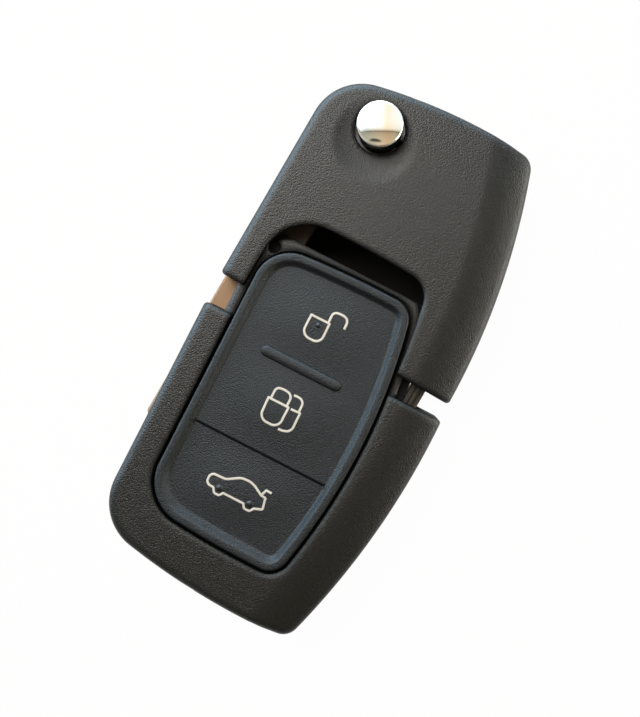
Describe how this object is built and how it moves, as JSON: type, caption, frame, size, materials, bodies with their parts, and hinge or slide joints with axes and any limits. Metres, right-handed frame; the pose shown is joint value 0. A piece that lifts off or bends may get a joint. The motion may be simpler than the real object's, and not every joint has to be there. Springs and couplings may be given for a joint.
{
  "type": "flip-blade car key fob",
  "caption": "Folding car key fob: head with flip-out blade and chrome release button, and a draw-off remote with a raised rubber button pad.",
  "frame": {"origin": "point of the head's back face on the axis of the blade's pivot", "axes": "+Y from the remote's end to the head, +Z out of the front face with the buttons, +X to the bowed side"},
  "size_m": [0.0396, 0.0801, 0.0196],
  "materials": {
    "case": "fine leather grain, matte",
    "pad": "smooth rubber, satin",
    "inner_plastic": "plain moulded",
    "chrome": "polished",
    "blade_metal": "satin, lightly brushed",
    "bow_metal": "die-cast, tumbled",
    "steel": "drawn and ground",
    "board": "solder mask",
    "component": "moulded package",
    "plated": "nickel plated"
  },
  "bodies": {
    "head": {"head_front_cover": "case", "head_rear_cover": "case", "head_screw": "steel", "transponder_chip": "component", "return_spring": "steel"},
    "blade": {"blade_bow": "bow_metal", "key_blade": "blade_metal", "blade_roll_pin": "steel"},
    "release_button": {"release_barrel": "inner_plastic", "release_cap": "chrome"},
    "catch": {"remote_catch": "inner_plastic"},
    "remote": {"remote_front_frame": "case", "remote_rear_cover": "case", "button_pad": "pad", "circuit_board": "board", "unlock_switch": "component", "lock_switch": "component", "boot_switch": "component", "transmitter_chip": "component", "crystal": "plated", "coin_cell": "plated", "lower_contact": "plated", "upper_contact": "plated", "ring_bar": "steel"},
    "unlock_button": {"unlock_stem": "inner_plastic"},
    "lock_button": {"lock_stem": "inner_plastic"},
    "boot_button": {"boot_stem": "inner_plastic"}
  },
  "joints": [
    {"name": "remote_draw", "type": "slide", "parent": "head", "child": "catch", "axis": [0, -1, 0], "range_m": [-0.0026, 0.012]},
    {"name": "remote_rock", "type": "hinge", "parent": "catch", "child": "remote", "pos_m": [0.02035, -0.02649, 0.008], "axis": [0, 0, 1], "range_deg": [-3.1, 0]},
    {"name": "blade_flip", "type": "hinge", "parent": "head", "child": "blade", "pos_m": [0, 0, 0.008], "axis": [0, 0, -1], "range_deg": [0, 180]},
    {"name": "release_press", "type": "slide", "parent": "blade", "child": "release_button", "axis": [0, 0, -1], "range_m": [0, 0.002], "stiffness_N_per_m": 1500, "deforming": ["return_spring"]},
    {"name": "unlock_press", "type": "slide", "parent": "remote", "child": "unlock_button", "axis": [0, 0, -1], "range_m": [0, 0.00025], "stiffness_N_per_m": 6000, "deforming": ["button_pad"]},
    {"name": "lock_press", "type": "slide", "parent": "remote", "child": "lock_button", "axis": [0, 0, -1], "range_m": [0, 0.00025], "stiffness_N_per_m": 6000, "deforming": ["button_pad"]},
    {"name": "boot_press", "type": "slide", "parent": "remote", "child": "boot_button", "axis": [0, 0, -1], "range_m": [0, 0.00025], "stiffness_N_per_m": 6000, "deforming": ["button_pad"]}
  ]
}
